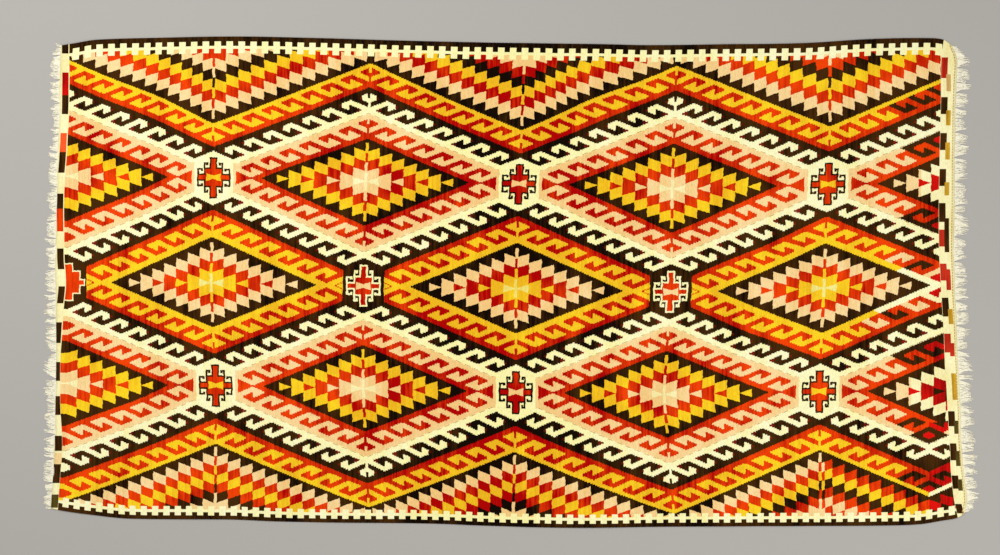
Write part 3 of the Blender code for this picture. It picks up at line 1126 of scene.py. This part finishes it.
def fringe(name, length_share, listed, outwards):
    """The warp ends past one end of the cloth, in loose uneven tufts."""
    roots, reaches, leans = [], [], []
    strands = TUFTS * STRANDS_PER_TUFT
    for strand in range(strands):
        # Tufts differ in width, so the count within one drifts along the end.
        spot = strand / STRANDS_PER_TUFT + 0.35 * math.sin(0.11 * strand + outwards)
        tuft = math.floor(spot)
        side = spot - tuft - 0.5
        unevenness = 0.5 + 0.5 * math.sin(2.4 * tuft + 1.3 * math.sin(1.7 * tuft))
        jitter = math.sin(12.9 * strand + 4.1)
        stray = math.sin(7.3 * strand + 2.0 * math.sin(1.3 * strand))
        x, y = cloth_point(length_share, (strand + 0.5) / strands)
        point = 1.0 - 0.5 * abs(side + 0.3 * math.sin(2.9 * tuft))
        reach = smooth_value(listed, y, 2) * (0.86 + 0.14 * unevenness + 0.13 * jitter) * point
        roots.append(((x + OFFSET[0] - outwards * ROOT_DEPTH) * MM, (y + OFFSET[1]) * MM,
                      ROOT_HEIGHT * MM))
        reaches.append((reach + ROOT_DEPTH) * MM)
        gather = (0.10 + 0.30 * unevenness) * side
        lean = outwards * 0.24 * math.sin(1.9 * tuft + outwards) + 0.16 * stray - gather
        leans.append(lean if outwards > 0 else math.pi - lean)
    return grow_strands(name, roots, reaches, leans, STRAND_RADIUS * MM, STRAND_WAVER * MM)


fringe_left = fringe("warp_fringe_left", 0.0, LEFT_END, -1.0)
fringe_right = fringe("warp_fringe_right", 1.0, RIGHT_END, 1.0)

# %% [markdown]
# ## Floor, light and camera
# The rug lies on a plain pale floor under soft light and is seen from straight above. The
# floor is one flat face, about six times as long as the rug, so that its edge stays far off.

# %% Floor
FLOOR_HALF = 9.0
FLOOR_DROP = -0.0002           # just under the cloth, so the two faces don't fight
floor_corners = [(x * FLOOR_HALF, y * FLOOR_HALF, FLOOR_DROP)
                 for x, y in ((-1, -1), (1, -1), (1, 1), (-1, 1))]
floor_mesh = bpy.data.meshes.new("pale_floor")
floor_mesh.from_pydata(floor_corners, [], [(0, 1, 2, 3)])
floor = bpy.data.objects.new("pale_floor", floor_mesh)
bpy.context.scene.collection.objects.link(floor)
floor_finish, _, floor_shader = new_finish("pale_floor_finish")
floor_shader.inputs["Base Color"].default_value = (*dye(176, 172, 166), 1.0)
floor_shader.inputs["Roughness"].default_value = 0.8
floor_mesh.materials.append(floor_finish)
print("floor of", 2 * FLOOR_HALF, "m")

# %% [markdown]
# Wool has no shine, so it needs broad light more than bright light. Two large square lights
# from opposite sides soften each other's shadows, and a dim white sky fills in the rest. The
# Standard view keeps the dyes as they were mixed.

# %% Light
world = bpy.data.worlds.new("studio")
world.use_nodes = True
world.node_tree.nodes["Background"].inputs["Color"].default_value = (1.0, 1.0, 1.0, 1.0)
world.node_tree.nodes["Background"].inputs["Strength"].default_value = 0.42
bpy.context.scene.world = world


def soft_light(name, place, size, power):
    """A large square light that points at the middle of the rug."""
    data = bpy.data.lights.new(name, "AREA")
    data.shape = "SQUARE"
    data.size = size
    data.energy = power
    lamp = bpy.data.objects.new(name, data)
    lamp.location = place
    aim = -lamp.location
    lamp.rotation_euler = aim.to_track_quat("-Z", "Y").to_euler()
    bpy.context.scene.collection.objects.link(lamp)
    return lamp


soft_light("soft_key", (-2.2, 1.8, 3.6), 2.5, 106.0)
soft_light("soft_fill", (2.6, -1.6, 3.4), 3.0, 78.0)
bpy.context.scene.view_settings.view_transform = "Standard"
print("two soft lights")

# %% [markdown]
# The camera hangs straight above. Its lens follows from its height and the width of floor that
# it has to show, so it can be raised or lowered and still shows the same width.

# %% Camera
VIEW_WIDTH = 3.14      # metres of floor across the picture
CAMERA_HEIGHT = 5.0
VIEW_CENTRE = (-34.5, 15.7)
camera_data = bpy.data.cameras.new("overhead")
camera_data.sensor_width = 36.0
camera_data.lens = camera_data.sensor_width * CAMERA_HEIGHT / VIEW_WIDTH
camera = bpy.data.objects.new("overhead", camera_data)
camera.location = ((VIEW_CENTRE[0] + OFFSET[0]) * MM, (VIEW_CENTRE[1] + OFFSET[1]) * MM,
                   CAMERA_HEIGHT)
bpy.context.scene.collection.objects.link(camera)
bpy.context.scene.camera = camera
print(f"camera {CAMERA_HEIGHT} m up, lens {camera_data.lens:.1f} mm")

# %% [markdown]
# ## Tie the pieces to the imported model
# The rug has one body. Each piece rides on it and stands for its imported solid, which is hidden.

# %% Ride and replace
for piece, node, slot in ((kilim_cloth, "kilim_panel", "kilim_wool"),
                          (fringe_left, "fringe_left", "warp_wool"),
                          (fringe_right, "fringe_right", "warp_wool")):
    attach(piece, "root")
    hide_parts(node)
print("three pieces ride on the one body")

# %% [markdown]

# %% Finish
print("scene built")
